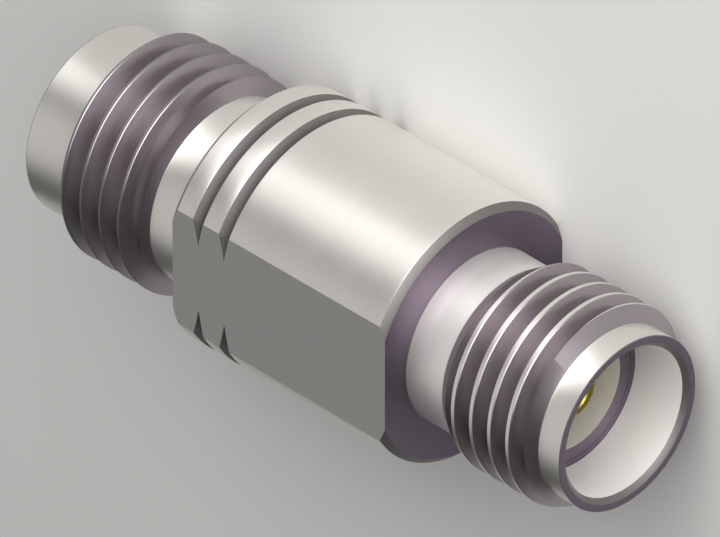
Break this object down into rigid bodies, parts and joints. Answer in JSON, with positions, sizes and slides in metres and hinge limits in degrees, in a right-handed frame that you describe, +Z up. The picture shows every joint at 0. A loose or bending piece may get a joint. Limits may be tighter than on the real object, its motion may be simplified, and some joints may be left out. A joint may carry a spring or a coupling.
{
  "type": "coax adapter",
  "caption": "Precision female-to-female coaxial adapter in turned stainless steel, joining a 3.5 mm line to a 2.4 mm line, with wrench flats and threads at both ends.",
  "frame": {"origin": "middle of the length, on the plane that the lower wrench flat rests on", "axes": "+X along the adapter's axis towards the end with the 3.5 mm line, +Z up, square to the wrench flats"},
  "size_m": [0.0208, 0.008, 0.007],
  "materials": {
    "passivated_steel": "fine turned, passivated",
    "sleeve_steel": "fine turned, passivated",
    "gold_plate": "gold plated",
    "rod_gold_plate": "gold plated",
    "bead_plastic": "machined, slightly waxy"
  },
  "bodies": {
    "root": {"threaded_body": "passivated_steel", "near_reference_sleeve": "sleeve_steel", "far_reference_sleeve": "sleeve_steel", "near_contact": "gold_plate", "far_contact": "gold_plate", "centre_rod": "rod_gold_plate", "near_bead": "bead_plastic", "far_bead": "bead_plastic"}
  },
  "joints": []
}
